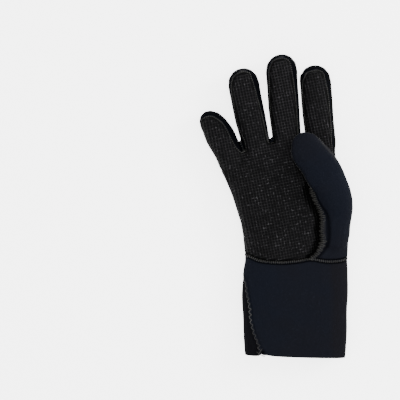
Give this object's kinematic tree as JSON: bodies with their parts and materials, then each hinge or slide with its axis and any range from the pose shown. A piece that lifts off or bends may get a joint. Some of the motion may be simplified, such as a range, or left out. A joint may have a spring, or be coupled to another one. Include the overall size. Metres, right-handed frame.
{
  "type": "diving glove",
  "caption": "Right-hand neoprene diving glove with a grip palm, long cuff and folded thumb, lying palm up.",
  "frame": {"origin": "under the middle of the glove's box, on the surface it lies on", "axes": "+Y from the cuff's mouth to the fingertips, +X to the thumb side, +Z out of the palm"},
  "size_m": [0.1544, 0.3034, 0.0577],
  "materials": {
    "neoprene_smooth": "black nylon jersey laminated on neoprene, matt with a soft sheen and a faint blue cast",
    "neoprene_grip": "black neoprene printed with a fine raised square net, dull with small highlights on the net",
    "seam_thread": "black overlock thread with a dull shine"
  },
  "bodies": {
    "root": {"cuff": "neoprene_smooth", "back_panel": "neoprene_smooth", "middle_back": "neoprene_smooth", "ring_back": "neoprene_smooth", "palm_panel": "neoprene_grip", "thumb_grip": "neoprene_grip"}
  },
  "joints": []
}
